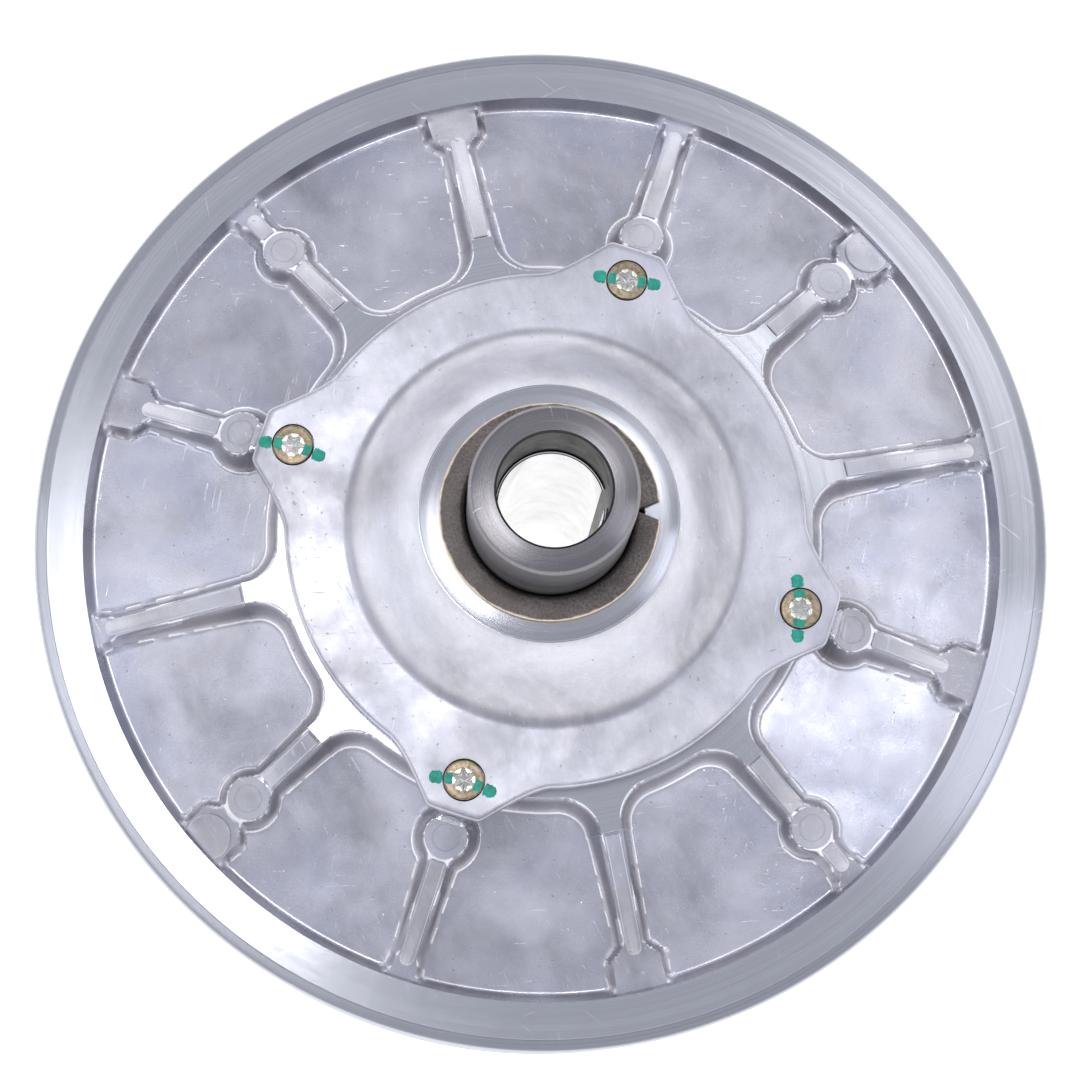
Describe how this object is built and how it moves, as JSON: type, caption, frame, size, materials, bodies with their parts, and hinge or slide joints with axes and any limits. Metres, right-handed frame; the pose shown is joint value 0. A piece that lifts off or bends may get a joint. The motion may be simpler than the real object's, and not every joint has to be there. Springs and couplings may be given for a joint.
{
  "type": "cvt driven pulley",
  "caption": "Driven pulley of a belt CVT: two conical sheaves on a hollow post, with a lobed cover, spring, rollers on a spider and a helical ramp ring.",
  "frame": {"origin": "centre of the post flange's back face", "axes": "+Z along the post, away from its flange and towards its open end; +X and +Y across, with the ribs at 12.2 degrees from +X and every 30 degrees on"},
  "size_m": [0.28, 0.28, 0.1406],
  "materials": {
    "cast_aluminium": "satin casting with turned rim, hub and boss faces",
    "turned_steel": "turned, fine circular marks",
    "bush_bronze": "dark sliding layer worn to bronze at the edges",
    "zinc_yellow": "yellow zinc plating",
    "black_steel": "black oxide",
    "spring_steel": "oiled drawn wire",
    "roller_polymer": "filled polymer",
    "marking_paint": "brittle green marking paint across the cover screws"
  },
  "bodies": {
    "post": {"fixed_sheave": "cast_aluminium", "post_shaft": "turned_steel", "flange_screw_1": "black_steel", "flange_screw_2": "black_steel", "flange_screw_3": "black_steel", "flange_screw_4": "black_steel", "flange_screw_5": "black_steel", "flange_screw_6": "black_steel", "spring": "spring_steel", "spring_seat": "turned_steel", "spider": "cast_aluminium", "retaining_ring": "spring_steel", "roller_pin_1": "turned_steel", "roller_pin_2": "turned_steel", "roller_pin_3": "turned_steel", "roller_washer_1": "turned_steel", "roller_washer_2": "turned_steel", "roller_washer_3": "turned_steel"},
    "spring_carriage": {"spring_washer": "roller_polymer"},
    "sliding_sheave": {"movable_sheave": "cast_aluminium", "cover": "cast_aluminium", "cover_screw_1": "zinc_yellow", "cover_screw_2": "zinc_yellow", "cover_screw_3": "zinc_yellow", "cover_screw_4": "zinc_yellow", "cover_bush": "bush_bronze", "sheave_bush": "bush_bronze", "helix_ring": "turned_steel"},
    "roller_a": {"roller_1": "roller_polymer"},
    "roller_b": {"roller_2": "roller_polymer"},
    "roller_c": {"roller_3": "roller_polymer"}
  },
  "joints": [
    {"name": "sheave_slide", "type": "slide", "parent": "post", "child": "spring_carriage", "axis": [0, 0, 1], "range_m": [0, 0.026], "stiffness_N_per_m": 6000, "springref_m": -0.02, "deforming": ["spring"]},
    {"name": "sheave_twist", "type": "hinge", "parent": "spring_carriage", "child": "sliding_sheave", "pos_m": [0, 0, 0.0425], "axis": [0, 0, 1], "range_deg": [0, 36.3]},
    {"name": "roller_a_spin", "type": "hinge", "parent": "post", "child": "roller_a", "pos_m": [0.04244, 0.0245, 0.073], "axis": [0.866, 0.5, 0], "range_deg": [0, 291]},
    {"name": "roller_b_spin", "type": "hinge", "parent": "post", "child": "roller_b", "pos_m": [-0.04244, 0.0245, 0.073], "axis": [-0.866, 0.5, 0], "range_deg": [0, 291]},
    {"name": "roller_c_spin", "type": "hinge", "parent": "post", "child": "roller_c", "pos_m": [0, -0.049, 0.073], "axis": [0, -1, 0], "range_deg": [0, 291]}
  ],
  "couplings": [
    {"joint": "sheave_twist", "follows": "sheave_slide", "rad_per_m": 24.308},
    {"joint": "roller_a_spin", "follows": "sheave_slide", "rad_per_m": 194.62},
    {"joint": "roller_b_spin", "follows": "sheave_slide", "rad_per_m": 194.62},
    {"joint": "roller_c_spin", "follows": "sheave_slide", "rad_per_m": 194.62}
  ]
}
